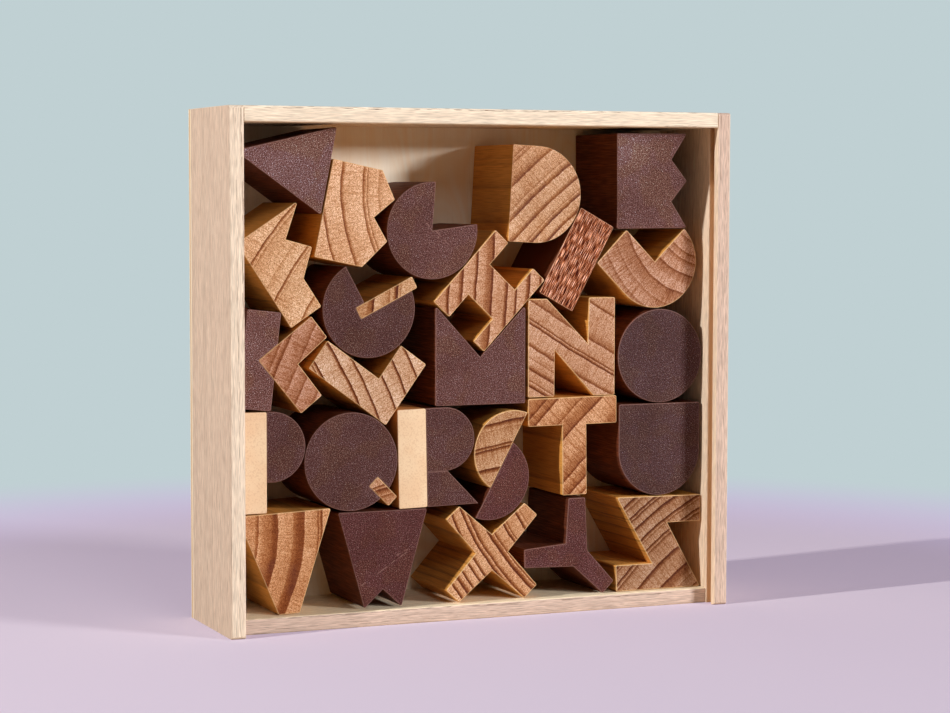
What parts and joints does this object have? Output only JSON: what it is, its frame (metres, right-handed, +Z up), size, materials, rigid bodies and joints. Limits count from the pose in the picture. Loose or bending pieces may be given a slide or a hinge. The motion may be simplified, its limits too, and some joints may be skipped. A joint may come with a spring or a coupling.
{
  "type": "boxed alphabet blocks",
  "caption": "Shallow open-front wooden box standing upright and packed five rows high with loose sawn wooden letter blocks, each a straight prism seen on its end grain.",
  "frame": {"origin": "middle of the footprint, on the surface the box stands on", "axes": "+X to the right along the rows as seen from the front, +Y from the open front to the plywood back, +Z up"},
  "size_m": [0.254, 0.0642, 0.2409],
  "materials": {
    "pale_softwood": "planed softwood, unvarnished",
    "birch_ply": "sanded plywood face",
    "dark_wood": "dark stained end grain, matt",
    "striped_wood": "striped end grain, oiled",
    "red_wood": "rough reddish end grain",
    "maple": "pale even grain, sanded"
  },
  "bodies": {
    "box": {"left_side": "pale_softwood", "right_side": "pale_softwood", "top_board": "pale_softwood", "bottom_board": "pale_softwood", "back_panel": "birch_ply"},
    "block_a": {"letter_a": "dark_wood"},
    "block_b": {"letter_b": "striped_wood"},
    "block_c": {"letter_c": "dark_wood"},
    "block_d": {"letter_d": "striped_wood"},
    "block_e": {"letter_e": "dark_wood"},
    "block_f": {"letter_f": "striped_wood"},
    "block_g": {"letter_g_disc": "dark_wood", "letter_g_bar": "striped_wood"},
    "block_h": {"letter_h": "striped_wood"},
    "block_i": {"letter_i": "red_wood"},
    "block_j": {"letter_j": "striped_wood"},
    "block_k": {"letter_k_stem": "dark_wood", "letter_k_chevron": "red_wood"},
    "block_l": {"letter_l": "striped_wood"},
    "block_m": {"letter_m": "dark_wood"},
    "block_n": {"letter_n": "striped_wood"},
    "block_o": {"letter_o": "dark_wood"},
    "block_p": {"letter_p_stem": "maple", "letter_p_bowl": "dark_wood"},
    "block_q": {"letter_q_disc": "dark_wood", "letter_q_tail": "striped_wood"},
    "block_r": {"letter_r_stem": "maple", "letter_r_bowl": "dark_wood", "letter_r_leg": "dark_wood"},
    "block_s": {"letter_s_upper": "striped_wood", "letter_s_lower": "dark_wood"},
    "block_t": {"letter_t": "striped_wood"},
    "block_u": {"letter_u": "dark_wood"},
    "block_v": {"letter_v": "striped_wood"},
    "block_w": {"letter_w": "dark_wood"},
    "block_x": {"letter_x": "striped_wood"},
    "block_y": {"letter_y": "dark_wood"},
    "block_z": {"letter_z": "striped_wood"}
  },
  "joints": [
    {"name": "slide_a", "type": "slide", "parent": "box", "child": "block_a", "axis": [0, -1, 0], "range_m": [0, 0.065]},
    {"name": "slide_b", "type": "slide", "parent": "box", "child": "block_b", "axis": [0, -1, 0], "range_m": [0, 0.065]},
    {"name": "slide_c", "type": "slide", "parent": "box", "child": "block_c", "axis": [0, -1, 0], "range_m": [0, 0.065]},
    {"name": "slide_d", "type": "slide", "parent": "box", "child": "block_d", "axis": [0, -1, 0], "range_m": [0, 0.065]},
    {"name": "slide_e", "type": "slide", "parent": "box", "child": "block_e", "axis": [0, -1, 0], "range_m": [0, 0.065]},
    {"name": "slide_f", "type": "slide", "parent": "box", "child": "block_f", "axis": [0, -1, 0], "range_m": [0, 0.065]},
    {"name": "slide_g", "type": "slide", "parent": "box", "child": "block_g", "axis": [0, -1, 0], "range_m": [0, 0.065]},
    {"name": "slide_h", "type": "slide", "parent": "box", "child": "block_h", "axis": [0, -1, 0], "range_m": [0, 0.065]},
    {"name": "slide_i", "type": "slide", "parent": "box", "child": "block_i", "axis": [0, -1, 0], "range_m": [0, 0.065]},
    {"name": "slide_j", "type": "slide", "parent": "box", "child": "block_j", "axis": [0, -1, 0], "range_m": [0, 0.065]},
    {"name": "slide_k", "type": "slide", "parent": "box", "child": "block_k", "axis": [0, -1, 0], "range_m": [0, 0.065]},
    {"name": "slide_l", "type": "slide", "parent": "box", "child": "block_l", "axis": [0, -1, 0], "range_m": [0, 0.065]},
    {"name": "slide_m", "type": "slide", "parent": "box", "child": "block_m", "axis": [0, -1, 0], "range_m": [0, 0.065]},
    {"name": "slide_n", "type": "slide", "parent": "box", "child": "block_n", "axis": [0, -1, 0], "range_m": [0, 0.065]},
    {"name": "slide_o", "type": "slide", "parent": "box", "child": "block_o", "axis": [0, -1, 0], "range_m": [0, 0.065]},
    {"name": "slide_p", "type": "slide", "parent": "box", "child": "block_p", "axis": [0, -1, 0], "range_m": [0, 0.065]},
    {"name": "slide_q", "type": "slide", "parent": "box", "child": "block_q", "axis": [0, -1, 0], "range_m": [0, 0.065]},
    {"name": "slide_r", "type": "slide", "parent": "box", "child": "block_r", "axis": [0, -1, 0], "range_m": [0, 0.065]},
    {"name": "slide_s", "type": "slide", "parent": "box", "child": "block_s", "axis": [0, -1, 0], "range_m": [0, 0.065]},
    {"name": "slide_t", "type": "slide", "parent": "box", "child": "block_t", "axis": [0, -1, 0], "range_m": [0, 0.065]},
    {"name": "slide_u", "type": "slide", "parent": "box", "child": "block_u", "axis": [0, -1, 0], "range_m": [0, 0.065]},
    {"name": "slide_v", "type": "slide", "parent": "box", "child": "block_v", "axis": [0, -1, 0], "range_m": [0, 0.065]},
    {"name": "slide_w", "type": "slide", "parent": "box", "child": "block_w", "axis": [0, -1, 0], "range_m": [0, 0.065]},
    {"name": "slide_x", "type": "slide", "parent": "box", "child": "block_x", "axis": [0, -1, 0], "range_m": [0, 0.065]},
    {"name": "slide_y", "type": "slide", "parent": "box", "child": "block_y", "axis": [0, -1, 0], "range_m": [0, 0.065]},
    {"name": "slide_z", "type": "slide", "parent": "box", "child": "block_z", "axis": [0, -1, 0], "range_m": [0, 0.065]}
  ]
}
